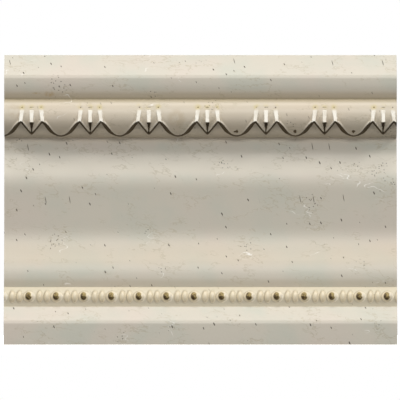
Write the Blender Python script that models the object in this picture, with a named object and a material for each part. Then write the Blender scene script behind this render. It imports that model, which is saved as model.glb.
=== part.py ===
"""Cornice moulding: one cast and glazed ceramic trim piece, 200 mm long.

The front runs from a bevelled top edge, over a torus carved with eggs and leaf darts and a long
hollow, down to a bead-and-reel astragal and a foot fillet. The piece stands on its underside. The
front faces -Y, the wall side is +Y and the moulding runs along X. All lengths are in metres.
"""
import math

import bmesh
import bpy
from mathutils import Matrix

# The piece as a whole
LENGTH = 0.200
HEIGHT = 0.1475
DEPTH = 0.034
RUN_OVER = 0.012            # the moulding is made this much longer at each end, then cut square
WALL_Y = DEPTH / 2

# Foot fillet and the bevel above it, where depths are measured out from the wall side
FOOT_FILLET_HEIGHT = 0.0118
BEVEL_ARRIS = 0.0014        # how far the rounding runs back on each side of a bevel's arris
FASCIA_ARRIS = 0.0006

# Astragal, the band that carries the beads and reels: upright at its foot, with a rounded nose and
# a bevel back to the ogee
ASTRAGAL_FOOT_Z = 0.0194
ASTRAGAL_DEPTH = DEPTH - (ASTRAGAL_FOOT_Z - FOOT_FILLET_HEIGHT)
ASTRAGAL_TOP_Z = 0.0292
NOSE_Z = 0.0230
NOSE_RADIUS = 0.0058
NOSE_TURN = math.radians(45)
NOSE_STEPS = 5
ORNAMENT_Z = 0.0242

# The long hollow: an ogee swept out at its foot, a flat, and a slope back under the torus
OGEE_FOOT_Z = 0.0328
OGEE_TURN = math.radians(31)
OGEE_SWELL_RADIUS = 0.0219
OGEE_HOLLOW_RADIUS = 0.0334
OGEE_STEPS = 6
FLAT_TOP_Z = 0.0776
SLOPE_TURN = math.radians(20)
SLOPE_RADIUS = 0.0298
SLOPE_STEPS = 4

# Torus that carries the eggs and darts
TORUS_Z = 0.1160
TORUS_RADIUS = 0.0108
TORUS_DEPTH = 0.0088
TORUS_TOP_ANGLE = math.radians(64)
TORUS_STEPS = 20

# Fascia above the torus, and the bevel at the top edge
FASCIA_DEPTH = 0.0170
FASCIA_FOOT_Z = 0.1272
FASCIA_TOP_Z = 0.1367

# Carving of the torus
MOTIF_PITCH = 0.02984
FIRST_DART_X = -0.0860
MOTIF_COUNT = 7
GROUND_SINK = 0.0026
GROUND_LIP = 0.0002
GROUND_FOOT_DEPTH = 0.0030  # how far out from the middle of the torus the sunk ground ends
CARVING_DRAFT = 0.35        # how far the carved walls lean outwards at their feet, for each unit of depth
CUSP_X = 0.0053
CUSP_Z = 0.1134
EGG_FOOT_Z = 0.1064
EGG_STEPS = 8
DART_TIP_Z = 0.1078
DART_TIP_WIDTH = 0.0017
DART_TIP_HEIGHT = 0.0004
NOTCH_WIDTH = 0.0024
NOTCH_TOP_Z = 0.1135
NOTCH_TIP_Z = 0.1086

# Stems of the darts, one upright between two that lean outwards
STEM_WIDTH = 0.0023
STEM_HEAD_Z = 0.1202
STEM_FOOT_Z = 0.1138
STEM_RISE = 0.0021
STEM_LEAN = 0.11
STEM_SHOULDER = 0.0007
STEM_ROOT = 0.0032          # how deep the stems are set into the torus
SKIN = 0.0002               # a small overlap, so that shapes meet inside each other

# Beads and reels
BEAD_PITCH = 0.01402
FIRST_BEAD_X = -0.0876
BEAD_COUNT = 14
BEAD_SIZE = (0.0066, 0.0064, 0.0061)
BEAD_RISE = 0.0014
BEAD_FACETS = (14, 8)
REEL_SIZE = (0.0033, 0.0048, 0.0058)
REEL_RISE = 0.0009
REEL_FACETS = (10, 6)
REEL_OFFSETS = (0.0057, 0.0091)

# Keying grooves in the wall side, for the adhesive
KEY_COUNT = 5
KEY_WIDTH = 0.008
KEY_DEPTH = 0.0010
KEY_MARGIN = 0.020

GLAZE_COLOUR = (0.74, 0.69, 0.58, 1.0)


def clear_scene():
    for old in list(bpy.data.objects):
        bpy.data.objects.remove(old, do_unlink=True)


def arc(depth, z, radius, start, end, steps, squash=1.0):
    """Points (depth, z) on an arc, its angles measured upwards from straight out of the wall."""
    turn = (end - start) / steps
    angles = [start + turn * step for step in range(steps + 1)]
    return [(depth + radius * squash * math.cos(a), z + radius * math.sin(a)) for a in angles]


def front_outline():
    """The moulding's section as (depth, z), from the foot at the front to the top at the wall."""
    nose = arc(ASTRAGAL_DEPTH - NOSE_RADIUS, NOSE_Z, NOSE_RADIUS, 0.0, NOSE_TURN, NOSE_STEPS)
    ogee_depth = nose[-1][0] - (ASTRAGAL_TOP_Z - nose[-1][1]) * math.tan(NOSE_TURN)
    astragal = [(ASTRAGAL_DEPTH, ASTRAGAL_FOOT_Z)] + nose + [(ogee_depth, ASTRAGAL_TOP_Z)]
    swell_centre = ogee_depth - OGEE_SWELL_RADIUS
    swell = arc(swell_centre, OGEE_FOOT_Z, OGEE_SWELL_RADIUS, 0.0, OGEE_TURN, OGEE_STEPS)
    turn_depth, turn_z = swell[-1]
    hollow_centre = turn_depth + OGEE_HOLLOW_RADIUS * math.cos(OGEE_TURN)
    hollow_z = turn_z + OGEE_HOLLOW_RADIUS * math.sin(OGEE_TURN)
    hollow = arc(hollow_centre, hollow_z, OGEE_HOLLOW_RADIUS, math.pi + OGEE_TURN, math.pi, OGEE_STEPS)[1:]
    flat_depth = hollow[-1][0]
    slope = arc(flat_depth - SLOPE_RADIUS, FLAT_TOP_Z, SLOPE_RADIUS, 0.0, SLOPE_TURN, SLOPE_STEPS)
    soffit_z = TORUS_Z - TORUS_RADIUS
    soffit_depth = slope[-1][0] - (soffit_z - slope[-1][1]) * math.tan(SLOPE_TURN)
    torus = arc(TORUS_DEPTH, TORUS_Z, TORUS_RADIUS, -math.pi / 2, TORUS_TOP_ANGLE, TORUS_STEPS)
    top_depth = FASCIA_DEPTH - (HEIGHT - FASCIA_TOP_Z)
    foot = [(0.0, 0.0), (DEPTH, 0.0), (DEPTH, FOOT_FILLET_HEIGHT)]
    quirk = [(torus[-1][0], FASCIA_FOOT_Z)]
    head = [(FASCIA_DEPTH, FASCIA_FOOT_Z), (FASCIA_DEPTH, FASCIA_TOP_Z)]
    top = [(top_depth, HEIGHT), (0.0, HEIGHT)]
    face = astragal + swell + hollow + slope
    return foot + face + [(soffit_depth, soffit_z)] + torus + quirk + head + top


def object_from(bm, name):
    bmesh.ops.recalc_face_normals(bm, faces=bm.faces)
    mesh = bpy.data.meshes.new(name)
    bm.to_mesh(mesh)
    bm.free()
    made = bpy.data.objects.new(name, mesh)
    bpy.context.scene.collection.objects.link(made)
    return made


def hide_helper(helper):
    helper.hide_render = True
    helper.display_type = "WIRE"
    return helper


def add_prism(bm, corners, along):
    """Pushes a flat outline, given as its corners in space, along a vector."""
    face = bm.faces.new([bm.verts.new(corner) for corner in corners])
    grown = bmesh.ops.extrude_face_region(bm, geom=[face])
    moved = [item for item in grown["geom"] if isinstance(item, bmesh.types.BMVert)]
    bmesh.ops.translate(bm, verts=moved, vec=along)
    return moved


def run(bm, outline):
    """Runs a section (depth, z) along the moulding, over both ends."""
    half = LENGTH / 2 + RUN_OVER
    corners = [(-half, WALL_Y - depth, z) for depth, z in outline]
    return add_prism(bm, corners, (2 * half, 0.0, 0.0))


def apply_boolean(target, other, operation):
    cut = target.modifiers.new(other.name, "BOOLEAN")
    cut.operation = operation
    cut.solver = "EXACT"
    cut.object = other


def runs_at(edge, depth, z):
    """True for a long edge of the moulding at this place in the section."""
    start, end = edge.verts
    near = 1e-5
    there = abs(WALL_Y - start.co.y - depth) < near and abs(start.co.z - z) < near
    return there and abs(start.co.x - end.co.x) > LENGTH


def section_body():
    """The plain moulding, with its three long arrises rounded."""
    bm = bmesh.new()
    run(bm, front_outline())
    arrises = [(DEPTH, FOOT_FILLET_HEIGHT, BEVEL_ARRIS), (FASCIA_DEPTH, FASCIA_TOP_Z, BEVEL_ARRIS)]
    arrises.append((FASCIA_DEPTH, FASCIA_FOOT_Z, FASCIA_ARRIS))
    for depth, z, rounding in arrises:
        edges = [edge for edge in bm.edges if runs_at(edge, depth, z)]
        bmesh.ops.bevel(bm, geom=edges, offset=rounding, segments=3, affect="EDGES",
                        profile=0.5, material=-1)
    return object_from(bm, "cornice_moulding")


def half_egg_line():
    """Half of the line round an egg's foot, a parabola from the cusp down to the egg's middle."""
    half_width = MOTIF_PITCH / 2 - CUSP_X
    points = []
    for step in range(EGG_STEPS + 1):
        inward = step / EGG_STEPS
        fall = 1.0 - (1.0 - inward) ** 2
        points.append((half_width * inward, CUSP_Z - (CUSP_Z - EGG_FOOT_Z) * fall))
    return points


def ground_line():
    """The carved line under every egg and dart, left to right, as (x, z)."""
    half_egg = half_egg_line()
    shoulder_z = DART_TIP_Z + DART_TIP_HEIGHT
    points = []
    for motif in range(-1, MOTIF_COUNT + 1):
        dart_x = FIRST_DART_X + motif * MOTIF_PITCH
        points += [(dart_x - CUSP_X - x, z) for x, z in reversed(half_egg)][1:]
        points += [(dart_x - DART_TIP_WIDTH / 2, shoulder_z), (dart_x, DART_TIP_Z)]
        points += [(dart_x + DART_TIP_WIDTH / 2, shoulder_z)]
        points += [(dart_x + CUSP_X + x, z) for x, z in half_egg]
    return points


def torus_depth_at(z):
    return TORUS_DEPTH + math.sqrt(TORUS_RADIUS ** 2 - (z - TORUS_Z) ** 2)


def ground_cutter():
    """What is carved away below the eggs and darts, and in the notch of each dart."""
    bm = bmesh.new()
    line = [(x, z + CARVING_DRAFT * (DEPTH - torus_depth_at(z))) for x, z in ground_line()]
    under_z = TORUS_Z - TORUS_RADIUS - GROUND_SINK
    outline = [(line[0][0], under_z)] + line + [(line[-1][0], under_z)]
    front_y = WALL_Y - DEPTH
    reach = DEPTH - TORUS_DEPTH - GROUND_FOOT_DEPTH
    add_prism(bm, [(x, front_y, z) for x, z in outline], (0.0, reach, -CARVING_DRAFT * reach))
    for motif in range(MOTIF_COUNT):
        dart_x = FIRST_DART_X + motif * MOTIF_PITCH
        side = NOTCH_WIDTH / 2
        notch = [(dart_x - side, NOTCH_TOP_Z), (dart_x, NOTCH_TIP_Z), (dart_x + side, NOTCH_TOP_Z)]
        add_prism(bm, [(x, front_y, z) for x, z in notch], (0.0, reach, 0.0))
    return hide_helper(object_from(bm, "ground_cutter"))


def ground_core():
    """The sunk ground of the torus, which runs out to nothing at the torus's foot."""
    bm = bmesh.new()
    radius = TORUS_RADIUS - GROUND_LIP
    squash = (TORUS_RADIUS - GROUND_SINK) / radius
    outline = arc(TORUS_DEPTH, TORUS_Z, radius, -math.pi / 2, math.pi / 2, TORUS_STEPS, squash)
    back_depth = TORUS_DEPTH - GROUND_SINK
    run(bm, outline + [(back_depth, TORUS_Z + radius), (back_depth, TORUS_Z - radius)])
    return hide_helper(object_from(bm, "ground_core"))


def is_stem_crest(edge, head_y):
    """True for the two long front edges of a stem, which run from its head down to its foot."""
    upper, lower = sorted(edge.verts, key=lambda vert: -vert.co.z)
    tall = upper.co.z - lower.co.z > (STEM_HEAD_Z - STEM_FOOT_Z) / 2
    return tall and lower.co.y < head_y


def stems():
    """The raised stems of the darts, wedges that stand out most at their feet."""
    bm = bmesh.new()
    sunk_depth = TORUS_DEPTH + TORUS_RADIUS - STEM_ROOT
    head_depth = torus_depth_at(STEM_HEAD_Z) - SKIN
    foot_depth = TORUS_DEPTH + TORUS_RADIUS + STEM_RISE
    side = [(sunk_depth, STEM_FOOT_Z), (foot_depth, STEM_FOOT_Z)]
    side += [(head_depth, STEM_HEAD_Z), (sunk_depth, STEM_HEAD_Z)]
    for motif in range(MOTIF_COUNT):
        for place in (-1, 0, 1):
            left = -STEM_WIDTH / 2
            corners = [(left, WALL_Y - depth, z - STEM_FOOT_Z) for depth, z in side]
            moved = add_prism(bm, corners, (STEM_WIDTH, 0.0, 0.0))
            near_side = {edge.other_vert(vert) for vert in moved for edge in vert.link_edges}
            stem = list(near_side.union(moved))
            lean = Matrix.Shear("XY", 4, (place * -STEM_LEAN, 0.0))
            middle_x = FIRST_DART_X + motif * MOTIF_PITCH + place * CUSP_X
            to_middle = Matrix.Translation((middle_x, 0.0, STEM_FOOT_Z))
            bmesh.ops.transform(bm, matrix=to_middle @ lean, verts=stem)
    crests = [edge for edge in bm.edges if is_stem_crest(edge, WALL_Y - head_depth)]
    bmesh.ops.bevel(bm, geom=crests, offset=STEM_SHOULDER, segments=2, affect="EDGES",
                    profile=0.5, material=-1)
    return hide_helper(object_from(bm, "stems"))


def add_drop(bm, x, size, rise, facets):
    """A bead or a reel, an egg-shaped lump set in the astragal and standing out by its rise."""
    depth = ASTRAGAL_DEPTH + rise - size[1] / 2
    place = Matrix.Translation((x, WALL_Y - depth, ORNAMENT_Z))
    stretch = Matrix.Diagonal((size[0], size[1], size[2], 1.0))
    pole_forward = Matrix.Rotation(math.pi / 2, 4, "X")
    bmesh.ops.create_uvsphere(bm, u_segments=facets[0], v_segments=facets[1], radius=0.5,
                              matrix=place @ stretch @ pole_forward)


def beads_and_reels():
    bm = bmesh.new()
    for bead in range(-1, BEAD_COUNT):
        bead_x = FIRST_BEAD_X + bead * BEAD_PITCH
        add_drop(bm, bead_x, BEAD_SIZE, BEAD_RISE, BEAD_FACETS)
        for offset in REEL_OFFSETS:
            add_drop(bm, bead_x + offset, REEL_SIZE, REEL_RISE, REEL_FACETS)
    return hide_helper(object_from(bm, "beads_and_reels"))


def wall_keys():
    """Shallow grooves along the wall side."""
    bm = bmesh.new()
    spacing = (HEIGHT - 2 * KEY_MARGIN) / (KEY_COUNT - 1)
    for key in range(KEY_COUNT):
        z = KEY_MARGIN + key * spacing
        low = z - KEY_WIDTH / 2
        high = z + KEY_WIDTH / 2
        draft = KEY_DEPTH / 2
        run(bm, [(-KEY_DEPTH, low - draft), (KEY_DEPTH, low + draft),
                 (KEY_DEPTH, high - draft), (-KEY_DEPTH, high + draft)])
    return hide_helper(object_from(bm, "wall_keys"))


def square_cut():
    """The block that the run-over ends are cut back to."""
    bm = bmesh.new()
    size = Matrix.Diagonal((LENGTH, DEPTH * 2, HEIGHT * 2, 1.0))
    bmesh.ops.create_cube(bm, size=1.0, matrix=Matrix.Translation((0.0, 0.0, HEIGHT / 2)) @ size)
    return hide_helper(object_from(bm, "square_cut"))


def glaze():
    material = bpy.data.materials.new("travertine_glaze")
    material.use_nodes = True
    shader = material.node_tree.nodes["Principled BSDF"]
    shader.inputs["Base Color"].default_value = GLAZE_COLOUR
    shader.inputs["Roughness"].default_value = 0.45
    shader.inputs["Metallic"].default_value = 0.0
    return material


def build_moulding():
    moulding = section_body()
    cutter = ground_cutter()
    apply_boolean(cutter, ground_core(), "DIFFERENCE")
    apply_boolean(moulding, cutter, "DIFFERENCE")
    apply_boolean(moulding, stems(), "UNION")
    apply_boolean(moulding, beads_and_reels(), "UNION")
    apply_boolean(moulding, wall_keys(), "DIFFERENCE")
    apply_boolean(moulding, square_cut(), "INTERSECT")
    moulding.data.materials.append(glaze())
    moulding.data.shade_smooth()
    moulding.data.set_sharp_from_angle(angle=math.radians(35))
    return moulding


clear_scene()
build_moulding()
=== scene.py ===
import math

import bmesh
import bpy
import numpy as np
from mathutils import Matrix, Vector


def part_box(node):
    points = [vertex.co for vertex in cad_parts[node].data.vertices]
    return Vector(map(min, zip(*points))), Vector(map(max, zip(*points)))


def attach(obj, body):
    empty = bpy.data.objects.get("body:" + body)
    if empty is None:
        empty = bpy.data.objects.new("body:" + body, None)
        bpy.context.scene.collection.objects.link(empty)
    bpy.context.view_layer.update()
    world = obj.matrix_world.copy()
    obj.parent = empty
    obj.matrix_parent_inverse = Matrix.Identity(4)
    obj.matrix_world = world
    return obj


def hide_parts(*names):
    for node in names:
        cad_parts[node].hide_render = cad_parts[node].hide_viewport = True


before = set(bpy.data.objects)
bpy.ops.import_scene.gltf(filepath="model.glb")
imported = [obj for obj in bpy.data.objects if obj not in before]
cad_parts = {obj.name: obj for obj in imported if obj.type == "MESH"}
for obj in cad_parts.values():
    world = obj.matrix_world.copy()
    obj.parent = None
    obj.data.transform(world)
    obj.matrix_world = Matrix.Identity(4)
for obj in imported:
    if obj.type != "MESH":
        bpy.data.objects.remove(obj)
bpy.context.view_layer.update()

# The cast body. One straight length of moulding in pressed ceramic, run to one section and cut
# square at both ends. It stands on its underside, and its wall side has shallow grooves that key
# it to the adhesive. Depths are measured out from the wall side.
BODY_NODE = "cornice_moulding"
body_low, body_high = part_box(BODY_NODE)
LENGTH = body_high.x - body_low.x
DEPTH = body_high.y - body_low.y
HEIGHT = body_high.z - body_low.z
WALL_Y = body_high.y

FOOT_FILLET_HEIGHT = 0.0118
ASTRAGAL_FOOT_Z = 0.0194
ASTRAGAL_DEPTH = DEPTH - (ASTRAGAL_FOOT_Z - FOOT_FILLET_HEIGHT)
ASTRAGAL_TOP_Z = 0.0292
ASTRAGAL_MIDDLE_Z = (ASTRAGAL_FOOT_Z + ASTRAGAL_TOP_Z) / 2
ASTRAGAL_HALF_HEIGHT = (ASTRAGAL_TOP_Z - ASTRAGAL_FOOT_Z) / 2
ASTRAGAL_CUTS = 740
NOSE_Z = 0.0230
NOSE_RADIUS = 0.0058
NOSE_TURN = math.radians(45)
NOSE_ROWS = 16
UPRIGHT_ROWS = 14
BEVEL_ROWS = 8
OGEE_FOOT_Z = 0.0328
OGEE_TURN = math.radians(31)
OGEE_SWELL_RADIUS = 0.0219
OGEE_HOLLOW_RADIUS = 0.0334
OGEE_ROWS = 10
FLAT_TOP_Z = 0.0776
SLOPE_TURN = math.radians(20)
SLOPE_RADIUS = 0.0298
SLOPE_ROWS = 8
SLOPE_EASE_Z = 0.0945
SLOPE_EASE_RADIUS = 0.016
TORUS_Z = 0.1160
TORUS_RADIUS = 0.0108
TORUS_DEPTH = 0.0088
TORUS_CARVED_ANGLE = math.radians(36)
TORUS_TOP_ANGLE = math.radians(55)
TORUS_CARVED_ROWS = 82
TORUS_PLAIN_ROWS = 8
TORUS_CUTS = 720
FASCIA_DEPTH = 0.0170
FASCIA_FOOT_Z = 0.1272
FASCIA_CURVE_Z = 0.1345
FASCIA_TOP_Z = 0.1367
FASCIA_TURN = math.radians(18)
FASCIA_ROWS = 8
BEVEL_ARRIS = 0.0014
ARRIS_SEGMENTS = 6
KEY_COUNT = 5
KEY_WIDTH = 0.008
KEY_DEPTH = 0.0010
KEY_MARGIN = 0.020
SHARP_ANGLE = math.radians(42)
NEAR = 1e-5


def arc(depth, z, radius, start, end, rows):
    """Points (depth, z) on an arc, its angles measured upwards from straight out of the wall."""
    angles = [start + (end - start) * row / rows for row in range(rows + 1)]
    return [(depth + radius * math.cos(a), z + radius * math.sin(a)) for a in angles]


def straight(start, end, rows):
    """Points evenly between two corners of the section, with the second corner last."""
    shares = [row / rows for row in range(1, rows + 1)]
    return [tuple(a + (b - a) * share for a, b in zip(start, end)) for share in shares]


def section():
    """The section of the moulding as (depth, z), up the front and down the grooved wall side."""
    points = [(0.0, 0.0), (DEPTH, 0.0), (DEPTH, FOOT_FILLET_HEIGHT)]
    points.append((ASTRAGAL_DEPTH, ASTRAGAL_FOOT_Z))
    points += straight(points[-1], (ASTRAGAL_DEPTH, NOSE_Z), UPRIGHT_ROWS)
    points += arc(ASTRAGAL_DEPTH - NOSE_RADIUS, NOSE_Z, NOSE_RADIUS, 0.0, NOSE_TURN, NOSE_ROWS)[1:]
    ogee_depth = points[-1][0] - (ASTRAGAL_TOP_Z - points[-1][1]) * math.tan(NOSE_TURN)
    points += straight(points[-1], (ogee_depth, ASTRAGAL_TOP_Z), BEVEL_ROWS)
    swell_centre = ogee_depth - OGEE_SWELL_RADIUS
    points += arc(swell_centre, OGEE_FOOT_Z, OGEE_SWELL_RADIUS, 0.0, OGEE_TURN, OGEE_ROWS)
    hollow_centre = points[-1][0] + OGEE_HOLLOW_RADIUS * math.cos(OGEE_TURN)
    hollow_z = points[-1][1] + OGEE_HOLLOW_RADIUS * math.sin(OGEE_TURN)
    points += arc(hollow_centre, hollow_z, OGEE_HOLLOW_RADIUS, math.pi + OGEE_TURN, math.pi,
                  OGEE_ROWS)[1:]
    slope_centre = points[-1][0] - SLOPE_RADIUS
    points += arc(slope_centre, FLAT_TOP_Z, SLOPE_RADIUS, 0.0, SLOPE_TURN, SLOPE_ROWS)
    ease_depth = points[-1][0] - (SLOPE_EASE_Z - points[-1][1]) * math.tan(SLOPE_TURN)
    ease_centre = ease_depth + SLOPE_EASE_RADIUS * math.cos(SLOPE_TURN)
    ease_z = SLOPE_EASE_Z + SLOPE_EASE_RADIUS * math.sin(SLOPE_TURN)
    points += arc(ease_centre, ease_z, SLOPE_EASE_RADIUS, math.pi + SLOPE_TURN, math.pi, SLOPE_ROWS)
    torus_foot = -math.acos((points[-1][0] - TORUS_DEPTH) / TORUS_RADIUS)
    points += arc(TORUS_DEPTH, TORUS_Z, TORUS_RADIUS, torus_foot, TORUS_CARVED_ANGLE,
                  TORUS_CARVED_ROWS)
    points += arc(TORUS_DEPTH, TORUS_Z, TORUS_RADIUS, TORUS_CARVED_ANGLE, TORUS_TOP_ANGLE,
                  TORUS_PLAIN_ROWS)[1:]
    fascia_radius = (FASCIA_CURVE_Z - FASCIA_FOOT_Z) / math.sin(FASCIA_TURN)
    fascia_centre = FASCIA_DEPTH - fascia_radius
    points += arc(fascia_centre, FASCIA_CURVE_Z, fascia_radius, -FASCIA_TURN, 0.0, FASCIA_ROWS)
    points += [(FASCIA_DEPTH, FASCIA_TOP_Z), (FASCIA_DEPTH - (HEIGHT - FASCIA_TOP_Z), HEIGHT)]
    points.append((0.0, HEIGHT))
    spacing = (HEIGHT - 2 * KEY_MARGIN) / (KEY_COUNT - 1)
    for key in reversed(range(KEY_COUNT)):
        z = KEY_MARGIN + key * spacing
        mouth = KEY_WIDTH / 2
        floor = mouth - KEY_DEPTH / 2
        points += [(0.0, z + mouth), (KEY_DEPTH, z + floor)]
        points += [(KEY_DEPTH, z - floor), (0.0, z - mouth)]
    return points


def runs_lengthwise(edge):
    return abs(edge.verts[0].co.x - edge.verts[1].co.x) > LENGTH / 2


def on_torus(depth, z):
    return abs(math.hypot(depth - TORUS_DEPTH, z - TORUS_Z) - TORUS_RADIUS) < NEAR


def on_astragal(depth, z):
    """True on the band of the beads and reels, which is all in front of the middle of its nose."""
    at_height = ASTRAGAL_FOOT_Z - NEAR < z < ASTRAGAL_TOP_Z + NEAR
    return at_height and depth > ASTRAGAL_DEPTH - NOSE_RADIUS


body = bmesh.new()
outline = [body.verts.new((-LENGTH / 2, WALL_Y - depth, z)) for depth, z in section()]
pushed = bmesh.ops.extrude_face_region(body, geom=[body.faces.new(outline)])
far_end = [item for item in pushed["geom"] if isinstance(item, bmesh.types.BMVert)]
bmesh.ops.translate(body, verts=far_end, vec=(LENGTH, 0.0, 0.0))
bmesh.ops.recalc_face_normals(body, faces=body.faces)

for depth, z in ((DEPTH, FOOT_FILLET_HEIGHT), (FASCIA_DEPTH, FASCIA_TOP_Z)):
    edges = []
    for edge in filter(runs_lengthwise, body.edges):
        corner = edge.verts[0].co
        if math.hypot(WALL_Y - corner.y - depth, corner.z - z) < NEAR:
            edges.append(edge)
    bmesh.ops.bevel(body, geom=edges, offset=BEVEL_ARRIS, segments=ARRIS_SEGMENTS,
                    affect="EDGES", profile=0.5, material=-1)

# The girth, the distance walked along the section from the front foot, is kept on every point, so
# that the glaze's pattern lies on the surface unstretched.
girth = body.verts.layers.float.new("girth")
left_faces = [face for face in body.faces if face.normal.x < -0.9]
end_face = max(left_faces, key=lambda face: len(face.verts))
walk = [loop.vert for loop in end_face.loops]
front_foot = min(walk, key=lambda vert: (round(vert.co.z, 5), vert.co.y))
start = walk.index(front_foot)
walk = walk[start:] + walk[:start]
if walk[1].co.z < NEAR:
    walk = [walk[0]] + walk[:0:-1]
walked = 0.0
previous = walk[0]
for vert in walk:
    walked += (vert.co - previous.co).length
    previous = vert
    partner = next(edge.other_vert(vert) for edge in vert.link_edges if runs_lengthwise(edge))
    vert[girth] = walked
    partner[girth] = walked

for is_there, cuts in ((on_torus, TORUS_CUTS), (on_astragal, ASTRAGAL_CUTS)):
    long_edges = []
    for edge in filter(runs_lengthwise, body.edges):
        corner = edge.verts[0].co
        if is_there(WALL_Y - corner.y, corner.z):
            long_edges.append(edge)
    bmesh.ops.subdivide_edges(body, edges=long_edges, cuts=cuts, use_grid_fill=True)

mesh = bpy.data.meshes.new("moulding")
body.to_mesh(mesh)
body.free()
moulding = bpy.data.objects.new("moulding", mesh)
bpy.context.scene.collection.objects.link(moulding)

# The carving. Eggs hang between leaf darts on the torus. Each dart has three stems that stand
# further out the lower they reach, and thin rims run on from the side stems' feet round the eggs.
# All of it was pressed in the mould, so it is raised or sunk straight out from the wall.
DART_PITCH = 0.02984
FIRST_DART_X = -0.0860
CUSP_X = 0.0053
CUSP_Z = 0.1133
EGG_FOOT_Z = 0.1062
EGG_FULLNESS = 1.35
LEAF_TIP_Z = 0.1075
LEAF_TIP_ROUND = 0.0007
GROUND_SINK = 0.0024
LEAF_LINE_WIDTH = 0.0007
EGG_LINE_WIDTH = 0.0006
FLANK_LINE_EXTRA = 0.0010
RIM_RISE = 0.0003
RIM_FOOT_RISE = 0.0013
RIM_FADE = 0.0022
RIM_WIDTH = 0.00032
STEM_HEAD_Z = 0.1200
STEM_TOP_Z = 0.1215
STEM_HEAD_OUT = 0.0100
STEM_SLOPE = math.tan(math.radians(29))
STEM_FOOT_Z = 0.1130
STEM_HALF_WIDTH = 0.00107
STEM_EDGE = 0.00024
STEM_FADE = 0.001
SIDE_STEM_HEAD_X = 0.00480
SIDE_STEM_LEAN = 0.12
NOTCH_TIP_Z = 0.1077
NOTCH_SINK = 0.0022
NOTCH_TIP_HALF_WIDTH = 0.00022
NOTCH_HALF_WIDTH = 0.00084
HEAD_MARK_Z = 0.1207
HEAD_MARK_SINK = 0.0003
FLECK_EGGS = (3, 4, 5)
FLECK_X = -0.0002
FLECK_Z = 0.1085
FLECK_HALF = (0.0011, 0.0007)


def ease(low, high, value):
    """0 below low, 1 above high, and a smooth slope between."""
    share = np.clip((value - low) / (high - low), 0.0, 1.0)
    return share * share * (3.0 - 2.0 * share)


def bump(value, middle, width):
    return np.exp(-((value - middle) / width) ** 2)


def from_middle(x, first, pitch):
    """The distance along the moulding from the nearest of a row of evenly spaced middles."""
    return (x - first + pitch / 2) % pitch - pitch / 2


count = len(mesh.vertices)
points = np.empty(count * 3)
mesh.vertices.foreach_get("co", points)
points = points.reshape(count, 3)
x, y, z = points[:, 0], points[:, 1], points[:, 2]
depth = WALL_Y - y
carved = np.abs(np.hypot(depth - TORUS_DEPTH, z - TORUS_Z) - TORUS_RADIUS) < NEAR

off_dart = np.abs(from_middle(x, FIRST_DART_X, DART_PITCH))
on_egg = off_dart > CUSP_X
half_egg = DART_PITCH / 2 - CUSP_X
inward = np.clip((off_dart - CUSP_X) / half_egg, 0.0, 1.0)
fall = 1.0 - (1.0 - inward) ** 2
egg_line = CUSP_Z - (CUSP_Z - EGG_FOOT_Z) * fall ** EGG_FULLNESS
egg_drop = (CUSP_Z - EGG_FOOT_Z) * EGG_FULLNESS * fall ** (EGG_FULLNESS - 1.0)
egg_slope = egg_drop * 2.0 * (1.0 - inward) / half_egg
leaf_slope = (CUSP_Z - LEAF_TIP_Z) / (np.hypot(CUSP_X, LEAF_TIP_ROUND) - LEAF_TIP_ROUND)
leaf_line = LEAF_TIP_Z + leaf_slope * (np.hypot(off_dart, LEAF_TIP_ROUND) - LEAF_TIP_ROUND)
line_z = np.where(on_egg, egg_line, leaf_line)
line_slope = np.where(on_egg, egg_slope, leaf_slope)
above_line = (z - line_z) / np.sqrt(1.0 + line_slope ** 2)
egg_line_width = EGG_LINE_WIDTH + FLANK_LINE_EXTRA * bump(inward, 0.36, 0.26)
line_width = np.where(on_egg, egg_line_width, LEAF_LINE_WIDTH)
lobe = ease(-0.5, 0.5, above_line / line_width)

from_cusp = np.abs(off_dart - CUSP_X)
rim_height = RIM_RISE + RIM_FOOT_RISE * np.exp(-from_cusp / RIM_FADE)
rim_line = bump(above_line, line_width / 2 + RIM_WIDTH, RIM_WIDTH)
rim = rim_height * rim_line

side_stem_x = SIDE_STEM_HEAD_X + SIDE_STEM_LEAN * (STEM_HEAD_Z - z)
from_stem = np.minimum(off_dart, np.abs(off_dart - side_stem_x))
stem = 1.0 - ease(STEM_HALF_WIDTH - STEM_EDGE, STEM_HALF_WIDTH + STEM_EDGE, from_stem)
above_foot = ease(STEM_FOOT_Z - STEM_EDGE, STEM_FOOT_Z + STEM_EDGE, z)
stem = stem * above_foot * ease(0.0, STEM_FADE, STEM_TOP_Z - z)
stem_front = TORUS_DEPTH + STEM_HEAD_OUT + STEM_SLOPE * (STEM_HEAD_Z - z)
stem_rise = np.maximum(stem_front - depth, 0.0) * stem

notch_share = np.clip((z - NOTCH_TIP_Z) / (STEM_FOOT_Z - NOTCH_TIP_Z), 0.0, 1.0)
notch_half = NOTCH_TIP_HALF_WIDTH + (NOTCH_HALF_WIDTH - NOTCH_TIP_HALF_WIDTH) * notch_share ** 1.7
notch = ease(-STEM_EDGE / 2, STEM_EDGE / 2, notch_half - off_dart) * (z > NOTCH_TIP_Z)
notch = notch * (1.0 - above_foot)

beside_heads = np.abs(off_dart - SIDE_STEM_HEAD_X)
middle_mark = bump(z, HEAD_MARK_Z, 0.00024) + bump(z, HEAD_MARK_Z - 0.0012, 0.00016)
middle_mark = middle_mark * (off_dart < 0.0010)
side_mark = bump(beside_heads, 0.0, 0.0006) * bump(z, HEAD_MARK_Z, 0.0006)
head_mark = np.maximum(middle_mark, side_mark)
# Painted shade along both sides of each stem, where the raised stem shades the leaf.
stem_side_shade = bump(from_stem, STEM_HALF_WIDTH + STEM_EDGE, STEM_EDGE) * lobe
stem_side_shade = stem_side_shade * ease(0.0, STEM_FADE, z - STEM_FOOT_Z)
stem_side_shade = stem_side_shade * ease(0.0, STEM_FADE, STEM_HEAD_Z - z)

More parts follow.
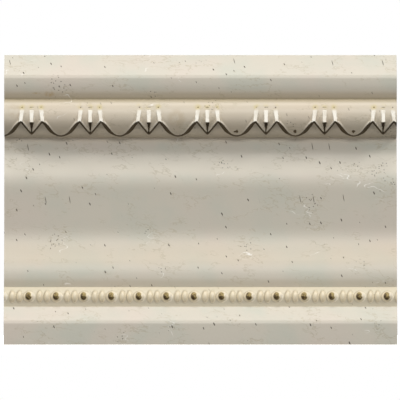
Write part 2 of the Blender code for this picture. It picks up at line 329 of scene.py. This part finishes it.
relief = (1.0 - lobe) * -GROUND_SINK + lobe * np.maximum(stem_rise, rim)
relief = relief - NOTCH_SINK * notch - HEAD_MARK_SINK * head_mark
outwards = np.clip((depth - TORUS_DEPTH) / TORUS_RADIUS, 0.0, 1.0)
torus_lift = np.where(carved, relief * outwards, 0.0)

# Brown patina and painted shade: the dark line along each lobe's edge, the notch under each dart and
# the marks at the stem heads are patina in the creases and also painted shade where shade falls into
# them.
line_mark = np.exp(-np.abs(above_line / (line_width * 0.60)) ** 6)
fleck = np.zeros(count)
for egg in FLECK_EGGS:
    off_fleck = x - (FIRST_DART_X + DART_PITCH * (egg + 0.5) + FLECK_X)
    above_fleck = z - FLECK_Z
    ragged = 0.20 * np.sin(off_fleck * 3600.0 + egg) + 0.15 * np.sin(above_fleck * 5100.0 + 2.0 * egg)
    from_fleck = np.hypot(off_fleck / FLECK_HALF[0], above_fleck / FLECK_HALF[1])
    fleck = np.maximum(fleck, 1.0 - ease(0.8, 1.1, from_fleck * (1.0 + ragged)))
patina_and_shade = np.maximum.reduce([line_mark, notch * 0.8, head_mark * 0.65, fleck, stem_side_shade * 0.36])
patina_and_shade = np.where(carved, patina_and_shade, 0.0)

# The stems and the rims beside the lines are painted lighter: partly glaze rubbed thin, partly a
# painted highlight on their up-facing tops.
stem_shown = stem * ease(0.0, 0.0012, STEM_HEAD_Z - z) * lobe
rim_shown = rim_line * (0.25 + 0.75 * np.exp(-(from_cusp / 0.0032) ** 2)) * lobe
rubbed_and_highlight = np.where(carved, np.maximum(stem_shown, rim_shown), 0.0)
warm = bump(beside_heads, 0.0, 0.0014) + 0.8 * bump(off_dart, 0.0, 0.0014)
warm = warm * bump(z, HEAD_MARK_Z + 0.0002, 0.0014)
warm = np.where(carved, warm, 0.0)

# The beads and reels. A round bead with a spot of bronze lustre, then two upright reels, over and
# over along the astragal.
BEAD_PITCH = 0.01402
FIRST_BEAD_X = -0.0872
ORNAMENT_Z = 0.0243
BEAD_HALF = (0.0031, 0.0034, 0.0029)
BEAD_RISE = 0.0015
REEL_HALF = (0.0017, 0.0026, 0.0031)
REEL_RISE = 0.0012
REEL_OFFSETS = (0.0055, 0.0092)
EDGE_WIDTH = 0.0003
SPOT_X = -0.0003
SPOT_Z = 0.0004
SPOT_HALF = (0.00165, 0.00205)
CRESCENT_SHARE = 0.78
BITE_X = 0.0022
BITE_Z = 0.0003
BITE_RADIUS = 0.0010


def lump(off_x, off_z, half, rise):
    """How far an egg-shaped lump reaches out from the wall, and a line of painted shade round its
    left side.
    """
    from_centre = np.hypot(off_x / half[0], off_z / half[2])
    middle = ASTRAGAL_DEPTH + rise - half[1]
    reach = middle + half[1] * np.sqrt(np.clip(1.0 - from_centre ** 2, 0.0, 1.0))
    on_left = np.clip(0.5 - 0.6 * off_x / half[0], 0.0, 1.0)
    edge = bump(from_centre, 1.0, EDGE_WIDTH / half[0]) * on_left
    return np.where(from_centre < 1.0, reach, 0.0), edge


in_band = (z > ASTRAGAL_FOOT_Z + NEAR) & (z < ASTRAGAL_TOP_Z - NEAR)
in_band = in_band & (depth > ASTRAGAL_DEPTH - NOSE_RADIUS)
off_bead = from_middle(x, FIRST_BEAD_X, BEAD_PITCH)
off_row = z - ORNAMENT_Z
reach, bead_shade_edge = lump(off_bead, off_row, BEAD_HALF, BEAD_RISE)
for offset in REEL_OFFSETS:
    off_reel = from_middle(x, FIRST_BEAD_X + offset, BEAD_PITCH)
    reel_reach, reel_edge = lump(off_reel, off_row, REEL_HALF, REEL_RISE)
    reach = np.maximum(reach, reel_reach)
    bead_shade_edge = np.maximum(bead_shade_edge, reel_edge)
bead_lift = np.where(in_band, np.maximum(reach - depth, 0.0), 0.0)
bead_shade_edge = np.where(in_band, bead_shade_edge, 0.0)

off_spot = off_bead - SPOT_X
above_spot = off_row - SPOT_Z
spot = 1.0 - ease(0.90, 1.06, np.hypot(off_spot / SPOT_HALF[0], above_spot / SPOT_HALF[1]))
spot = spot * ease(0.85, 1.15, np.hypot(off_spot - BITE_X, above_spot - BITE_Z) / BITE_RADIUS)
spot = np.where(in_band, spot, 0.0)
from_centre = np.hypot(off_bead / BEAD_HALF[0], off_row / BEAD_HALF[2])
# Painted highlight: a light crescent on the right flank of each bead, the side the light comes from.
bead_highlight_crescent = bump(from_centre, CRESCENT_SHARE, 0.13) * ease(0.1, 0.8, off_bead / BEAD_HALF[0])
rubbed_and_highlight = np.where(in_band, bead_highlight_crescent, rubbed_and_highlight)
# Painted highlight: the raised fronts of the beads and reels are painted lighter than the band they
# sit on.
lump_highlight = np.where(in_band, reach > 0.0, 0.0)
# Painted light and shade on each bronze spot: lighter towards its top and right, darker to its left
# and bottom.
spot_painted_light = 0.42 + 0.32 * above_spot / SPOT_HALF[1] + 0.28 * off_spot / SPOT_HALF[0]
spot_painted_light = np.clip(spot_painted_light, 0.0, 1.0)

points[:, 1] = y - torus_lift - bead_lift
mesh.vertices.foreach_set("co", points.reshape(-1))
marks = {"patina_and_shade": patina_and_shade, "rubbed_and_highlight": rubbed_and_highlight, "warm_stain": warm, "bead_shade_edge": bead_shade_edge}
marks.update({"bronze_spot": spot, "spot_painted_light": spot_painted_light, "lump_highlight": lump_highlight})
for name, mark in marks.items():
    mesh.attributes.new(name=name, type="FLOAT", domain="POINT").data.foreach_set("value", mark)
mesh.shade_smooth()
mesh.set_sharp_from_angle(angle=SHARP_ANGLE)
mesh.update()

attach(moulding, "root")
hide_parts(BODY_NODE)


# The glaze. A satin cream glaze printed like travertine, over the whole front: soft mottling,
# wandering veins, white hairlines and small brown pits, with brown patina left in the carving.
# Painted shade darkens the carving's creases, the corners, the top of the torus and the hollow,
# and painted highlights lighten the stems, rims, beads, reels and the slope under the torus.
class Socket:
    """One output of a material's nodes, on which plain arithmetic adds Math nodes."""

    def __init__(self, recipe, link):
        self.recipe = recipe
        self.link = link

    def math(self, operation, first, second):
        return self.recipe.node("ShaderNodeMath", {"operation": operation}, {0: first, 1: second})

    def __add__(self, other):
        return self.math("ADD", self, other)

    def __sub__(self, other):
        return self.math("SUBTRACT", self, other)

    def __rsub__(self, other):
        return self.math("SUBTRACT", other, self)

    def __mul__(self, other):
        return self.math("MULTIPLY", self, other)

    def __truediv__(self, other):
        return self.math("DIVIDE", self, other)

    __radd__ = __add__
    __rmul__ = __mul__

    def at_least(self, other):
        return self.math("MAXIMUM", self, other)

    def size(self):
        return self.math("ABSOLUTE", self, 0.0)

    def fade(self, low, high):
        """1 at or below low, 0 at or above high, and a smooth slope between."""
        return self.recipe.fade(self, low, high)


class Recipe:
    """The nodes of one material."""

    def __init__(self, name):
        self.material = bpy.data.materials.new(name)
        self.material.use_nodes = True
        self.tree = self.material.node_tree
        self.shader = self.tree.nodes["Principled BSDF"]

    def node(self, kind, settings, sockets, output=0):
        made = self.tree.nodes.new(kind)
        for key, value in settings.items():
            setattr(made, key, value)
        for key, value in sockets.items():
            if isinstance(value, Socket):
                self.tree.links.new(value.link, made.inputs[key])
            else:
                made.inputs[key].default_value = value
        return Socket(self, made.outputs[output])

    def fade(self, value, low, high):
        settings = {"interpolation_type": "SMOOTHSTEP"}
        sockets = {"Value": value, "From Min": low, "From Max": high, "To Min": 1.0, "To Max": 0.0}
        return self.node("ShaderNodeMapRange", settings, sockets)

    def blend(self, share, first, second, how="MIX"):
        settings = {"data_type": "RGBA", "blend_type": how}
        return self.node("ShaderNodeMix", settings, {0: share, 6: first, 7: second}, output=2)

    def noise(self, place, scale, detail=2.0, roughness=0.5):
        settings = {"noise_dimensions": "3D"}
        sockets = {"Vector": place, "Scale": scale, "Detail": detail, "Roughness": roughness}
        return self.node("ShaderNodeTexNoise", settings, sockets)

    def ridge(self, place, scale, detail=2.0, roughness=0.5):
        """Near 0 along thin wandering lines."""
        return (self.noise(place, scale, detail, roughness) - 0.5).size()

    def mark(self, name):
        settings = {"attribute_type": "GEOMETRY", "attribute_name": name}
        return self.node("ShaderNodeAttribute", settings, {}, output=2)

    def finish(self, sockets):
        for key, value in sockets.items():
            if isinstance(value, Socket):
                self.tree.links.new(value.link, self.shader.inputs[key])
            else:
                self.shader.inputs[key].default_value = value


CREAM = (0.592, 0.543, 0.448, 1.0)
GREY_GREEN = (0.545, 0.530, 0.440, 1.0)
WARM_PINK = (0.615, 0.535, 0.448, 1.0)
TORUS_WARMTH = (0.610, 0.520, 0.395, 1.0)
VEIN_OLIVE = (0.40, 0.34, 0.22, 1.0)
HAIRLINE_WHITE = (0.86, 0.83, 0.77, 1.0)
PIT_BROWN = (0.055, 0.042, 0.026, 1.0)
PATINA_AND_SHADE_BROWN = (0.100, 0.068, 0.031, 1.0)
RUBBED_AND_HIGHLIGHT_WHITE = (0.80, 0.765, 0.68, 1.0)
STAIN_YELLOW = (0.60, 0.50, 0.25, 1.0)
SHADE_TAN = (0.36, 0.30, 0.19, 1.0)
BISCUIT = (0.52, 0.43, 0.33, 1.0)
BRONZE_DARK = (0.085, 0.052, 0.018, 1.0)
BRONZE_GOLD = (0.31, 0.23, 0.085, 1.0)
ASTRAGAL_CREAM = (0.625, 0.545, 0.385, 1.0)
LUMP_HIGHLIGHT_CREAM = (0.84, 0.73, 0.53, 1.0)
SLOPE_HIGHLIGHT_CREAM = (0.70, 0.645, 0.535, 1.0)
HOLLOW_SHADE_GREY = (0.46, 0.425, 0.350, 1.0)

PIT_CELLS = 115.0
SPECKLE_CELLS = 480.0
CRACK_CELLS = 60.0
BARE_DEPTH = 0.0011
SWELL_Z = 0.0465
SLOPE_HIGHLIGHT_Z = 0.0925
HOLLOW_Z = 0.0690
OGEE_CORNER_Z = 0.0303
CORNER_Z = 0.1262
TORUS_ARRIS_Z = 0.1244
SMUDGE_BROWN = (0.43, 0.31, 0.16, 1.0)
SMUDGES = ((-0.0120, 0.1150, 0.0060, 0.0065, 0.32), (-0.0770, 0.1277, 0.0032, 0.0020, 0.80),
           (-0.0835, 0.1280, 0.0026, 0.0006, 0.70), (-0.0940, 0.1190, 0.0050, 0.0050, 0.30))

glaze = Recipe("travertine_glaze")
place = glaze.node("ShaderNodeTexCoord", {}, {}, output=3)
split = {"Vector": place}
along = glaze.node("ShaderNodeSeparateXYZ", {}, split, output=0)
across = glaze.node("ShaderNodeSeparateXYZ", {}, split, output=1)
height = glaze.node("ShaderNodeSeparateXYZ", {}, split, output=2)
walked = glaze.mark("girth")
flat = glaze.node("ShaderNodeCombineXYZ", {}, {"X": along, "Y": walked, "Z": 0.0})

mottle = glaze.noise(flat, 38.0, 3.0, 0.55)
blush = glaze.noise(flat, 24.0, 2.0, 0.5)
colour = glaze.blend(1.0 - mottle.fade(0.42, 0.66), CREAM, GREY_GREEN)
colour = glaze.blend((1.0 - blush.fade(0.48, 0.70)) * 0.8, colour, WARM_PINK)

in_torus = (height - TORUS_Z).size().fade(TORUS_RADIUS, TORUS_RADIUS + 0.004)
in_swell = (height - SWELL_Z).size().fade(0.003, 0.010)
colour = glaze.blend(in_torus * (0.45 + blush * 0.6), colour, TORUS_WARMTH)
colour = glaze.blend(in_swell * blush * 0.9, colour, TORUS_WARMTH)
# Painted highlight: the up-facing slope under the torus is painted lighter.
slope_highlight = (height - SLOPE_HIGHLIGHT_Z).size().fade(0.003, 0.0085)
colour = glaze.blend(slope_highlight * 0.85, colour, SLOPE_HIGHLIGHT_CREAM)
# Painted shade: the upright hollow of the ogee is painted greyer and darker.
hollow_shade = (height - HOLLOW_Z).size().fade(0.010, 0.018)
colour = glaze.blend(hollow_shade * 0.35, colour, HOLLOW_SHADE_GREY)

# Painted shade in the corner under the fascia and in the corner at the foot of the ogee.
corner_shade = (height - CORNER_Z).size().fade(0.0008, 0.0032)
corner_shade = corner_shade * 0.30 + (height - OGEE_CORNER_Z).size().fade(0.0008, 0.0045) * 0.42
colour = glaze.blend(corner_shade, colour, SHADE_TAN)
# Painted shade along the top of the torus, under the fascia's overhang.
torus_top_shade = (height - TORUS_ARRIS_Z).size().fade(0.0005, 0.0022)
colour = glaze.blend(torus_top_shade * 0.72, colour, SHADE_TAN)

smudged = 0.0
for smudge_x, smudge_z, half_length, half_height, strength in SMUDGES:
    aside = ((along - smudge_x) / half_length).size()
    above = ((height - smudge_z) / half_height).size()
    smudged = (aside * aside + above * above).fade(0.0, 1.0) * strength + smudged
smudged = smudged * (1.0 - glaze.noise(flat, 240.0, 3.0, 0.6).fade(0.38, 0.58))
colour = glaze.blend(smudged, colour, SMUDGE_BROWN)

vein_area = 1.0 - glaze.noise(flat, 60.0, 2.0).fade(0.44, 0.58)
drawn = {"X": along * 0.8 + walked * 0.5, "Y": walked * 1.5, "Z": 0.7}
vein_place = glaze.node("ShaderNodeCombineXYZ", {}, drawn)
veins = glaze.ridge(vein_place, 95.0, 3.0, 0.65).fade(0.003, 0.020) * vein_area
colour = glaze.blend(veins * 0.42, colour, VEIN_OLIVE)

hair_area = 1.0 - glaze.noise(flat, 62.0, 1.0).fade(0.62, 0.69)
level = {"X": along * 0.7, "Y": walked * 1.6, "Z": 0.2}
hair_place = glaze.node("ShaderNodeCombineXYZ", {}, level)
hair_break = 1.0 - glaze.noise(flat, 420.0, 2.0).fade(0.36, 0.56)
hairs = glaze.ridge(hair_place, 60.0, 2.0, 0.6).fade(0.001, 0.008) * hair_area * hair_break
colour = glaze.blend(hairs * 0.80, colour, HAIRLINE_WHITE)

slanted = {"X": along * 1.6 + walked * 0.6, "Y": walked * 0.65, "Z": 0.0}
pit_place = glaze.node("ShaderNodeCombineXYZ", {}, slanted)
cells = {"Vector": pit_place, "Scale": PIT_CELLS, "Randomness": 1.0}
pit_kind = {"voronoi_dimensions": "2D", "feature": "F1"}
pit_distance = glaze.node("ShaderNodeTexVoronoi", pit_kind, cells, output=0)
pit_colour = glaze.node("ShaderNodeTexVoronoi", pit_kind, cells, output=1)
pit_draw = glaze.node("ShaderNodeSeparateColor", {}, {"Color": pit_colour}, output=0)
pit_reach = (pit_draw - 0.34).at_least(0.0) * 0.090
pits = 1.0 - (pit_reach - pit_distance).fade(-0.008, 0.008)
pits = pits * (1.0 - pit_draw.fade(0.50, 0.56)) * (1.0 - in_torus * 0.6)

speckle_area = 1.0 - glaze.noise(flat, 58.0, 1.0).fade(0.655, 0.70)
cells = {"Vector": flat, "Scale": SPECKLE_CELLS, "Randomness": 1.0}
speckle_distance = glaze.node("ShaderNodeTexVoronoi", pit_kind, cells, output=0)
speckles = speckle_distance.fade(0.10, 0.17) * speckle_area

stretched = {"X": along * 6.0 + walked * 1.1, "Y": walked * 0.62, "Z": 0.35}
crack_place = glaze.node("ShaderNodeCombineXYZ", {}, stretched)
cells = {"Vector": crack_place, "Scale": CRACK_CELLS, "Randomness": 1.0}
crack_distance = glaze.node("ShaderNodeTexVoronoi", pit_kind, cells, output=0)
crack_colour = glaze.node("ShaderNodeTexVoronoi", pit_kind, cells, output=1)
crack_draw = glaze.node("ShaderNodeSeparateColor", {}, {"Color": crack_colour}, output=1)
cracks = crack_distance.fade(0.045, 0.085) * (1.0 - crack_draw.fade(0.935, 0.945))
cracks = cracks * (1.0 - in_torus)
holes = pits.at_least(cracks * 0.85).at_least(speckles * 0.7)
colour = glaze.blend(holes * 0.92, colour, PIT_BROWN)

from_astragal = (height - ASTRAGAL_MIDDLE_Z).size()
in_astragal = from_astragal.fade(ASTRAGAL_HALF_HEIGHT, ASTRAGAL_HALF_HEIGHT + 0.0002)
in_astragal = in_astragal * across.fade(WALL_Y - DEPTH / 2, WALL_Y - DEPTH / 2 + 0.001)
colour = glaze.blend(in_astragal * 0.75, colour, ASTRAGAL_CREAM)
# Painted highlight on the beads and reels.
colour = glaze.blend(glaze.mark("lump_highlight") * 0.8, colour, LUMP_HIGHLIGHT_CREAM)
# Painted shade round the left side of each bead and reel.
colour = glaze.blend(glaze.mark("bead_shade_edge") * 0.75, colour, SHADE_TAN)

stain_patch = 1.0 - glaze.noise(flat, 260.0, 2.0).fade(0.35, 0.60)
colour = glaze.blend(glaze.mark("warm_stain") * stain_patch * 0.95, colour, STAIN_YELLOW)
# Rubbed glaze and painted highlight on the stems and rims, and painted highlight on the beads' right
# flanks.
colour = glaze.blend(glaze.mark("rubbed_and_highlight") * (0.5 + stain_patch * 0.4), colour, RUBBED_AND_HIGHLIGHT_WHITE)

# Patina and painted shade in the creases of the carving, broken up by noise.
patina_and_shade_wear = glaze.noise(flat, 900.0, 2.0) * 0.5
patina_and_shade_cover = 1.0 - (glaze.mark("patina_and_shade") - patina_and_shade_wear).fade(0.05, 0.45)
colour = glaze.blend(patina_and_shade_cover, colour, PATINA_AND_SHADE_BROWN)

# Each bronze spot is coloured from its painted light and shade, broken up with noise.
spot_mark = glaze.mark("bronze_spot")
spot_tone = glaze.mark("spot_painted_light") + (glaze.noise(flat, 900.0, 2.0) - 0.5) * 1.9
bronze = glaze.blend(1.0 - spot_tone.fade(0.15, 0.75), BRONZE_DARK, BRONZE_GOLD)
colour = glaze.blend(spot_mark, colour, bronze)

bare = 1.0 - across.fade(WALL_Y - BARE_DEPTH - 0.0001, WALL_Y - BARE_DEPTH)
bare = bare.at_least(1.0 - along.size().fade(LENGTH / 2 - 0.00005, LENGTH / 2 - 0.00002))
bare = bare.at_least(height.fade(0.00002, 0.00005))
colour = glaze.blend(bare, colour, BISCUIT)

grain = glaze.noise(flat, 700.0, 3.0)
roughness = 0.40 + patina_and_shade_cover * 0.25 + holes * 0.3 + bare * 0.4
relief_height = grain * 0.12 - holes - veins * 0.1
bumps = {"Strength": 0.5, "Distance": 0.0003, "Height": relief_height}
surface = glaze.node("ShaderNodeBump", {}, bumps)
glaze.finish({"Base Color": colour, "Roughness": roughness, "Metallic": spot_mark * 0.4,
              "Normal": surface})
mesh.materials.append(glaze.material)

# The studio. A plain white floor and surround, with a soft lamp on each side, a long one overhead,
# two broad ones in front and one behind for the wall side. The photo shows no light thrown up from
# a floor, so the floor is seen by the camera alone and neither lights nor mirrors the moulding.
AMBIENT = 0.14
FLOOR_SIZE = 0.9
FLOOR_WHITE = (0.93, 0.93, 0.92, 1.0)

floor_mesh = bpy.data.meshes.new("floor")
floor_shape = bmesh.new()
bmesh.ops.create_grid(floor_shape, x_segments=1, y_segments=1, size=FLOOR_SIZE / 2)
floor_shape.to_mesh(floor_mesh)
floor_shape.free()
floor = bpy.data.objects.new("floor", floor_mesh)
bpy.context.scene.collection.objects.link(floor)
floor_finish = Recipe("floor_white")
floor_finish.finish({"Base Color": FLOOR_WHITE, "Roughness": 0.9, "Emission Color": FLOOR_WHITE,
                     "Emission Strength": 1.0})
floor_mesh.materials.append(floor_finish.material)
floor.visible_diffuse = False
floor.visible_glossy = False
floor.visible_shadow = False

MIDDLE = Vector((0.0, WALL_Y - DEPTH, HEIGHT / 2))


def lamp(name, side_angle, height_angle, distance, width, tall, power):
    """A soft box that faces the moulding from an angle to the side and an angle above level."""
    data = bpy.data.lights.new(name, "AREA")
    data.shape = "RECTANGLE"
    data.size = width
    data.size_y = tall
    data.energy = power
    side, up = math.radians(side_angle), math.radians(height_angle)
    away = Vector((math.sin(side) * math.cos(up), -math.cos(side) * math.cos(up), math.sin(up)))
    made = bpy.data.objects.new(name, data)
    made.location = MIDDLE + away * distance
    made.rotation_euler = (-away).to_track_quat("-Z", "Y").to_euler()
    bpy.context.scene.collection.objects.link(made)


lamp("side_left", -66.0, 41.0, 2.0, 0.4, 0.4, 12.5)
lamp("side_right", 66.0, 41.0, 2.0, 0.4, 0.4, 14.0)
lamp("overhead", 0.0, 80.0, 2.0, 1.4, 0.4, 14.5)
lamp("front", 0.0, 33.0, 2.5, 1.8, 0.5, 21.5)
lamp("front_low", 0.0, -6.0, 2.5, 1.8, 0.5, 9.0)
lamp("behind", 180.0, 30.0, 2.5, 1.8, 0.5, 20.0)

world = bpy.data.worlds.new("surround")
bpy.context.scene.world = world
world.use_nodes = True
nodes, links = world.node_tree.nodes, world.node_tree.links
ambient = nodes["Background"]
ambient.inputs["Color"].default_value = (1.0, 1.0, 1.0, 1.0)
ambient.inputs["Strength"].default_value = AMBIENT
backdrop = nodes.new("ShaderNodeBackground")
backdrop.inputs["Color"].default_value = (1.0, 1.0, 1.0, 1.0)
backdrop.inputs["Strength"].default_value = 1.0
chooser = nodes.new("ShaderNodeMixShader")
links.new(nodes.new("ShaderNodeLightPath").outputs["Is Camera Ray"], chooser.inputs["Fac"])
links.new(ambient.outputs["Background"], chooser.inputs[1])
links.new(backdrop.outputs["Background"], chooser.inputs[2])
links.new(chooser.outputs["Shader"], nodes["World Output"].inputs["Surface"])
bpy.context.scene.view_settings.view_transform = "Standard"

# The camera stands far off in front with a very long lens, so that the view is straight on and
# almost without perspective, as the photo is.
PHOTO_WIDTH = 400
PIXEL = LENGTH / 393
PHOTO_MIDDLE_OFFSET = (-0.5, -0.35)
MEAN_DEPTH = 0.022
LENS = 1200.0
SENSOR = 36.0

camera_data = bpy.data.cameras.new("camera")
camera_data.lens = LENS
camera_data.sensor_width = SENSOR
camera_data.clip_start = 0.1
camera_data.clip_end = 50.0
camera = bpy.data.objects.new("camera", camera_data)
stand_off = PHOTO_WIDTH * PIXEL * LENS / SENSOR
camera.location = (PHOTO_MIDDLE_OFFSET[0] * PIXEL, WALL_Y - MEAN_DEPTH - stand_off,
                   HEIGHT / 2 + PHOTO_MIDDLE_OFFSET[1] * PIXEL)
camera.rotation_euler = (math.pi / 2, 0.0, 0.0)
bpy.context.scene.collection.objects.link(camera)
bpy.context.scene.camera = camera
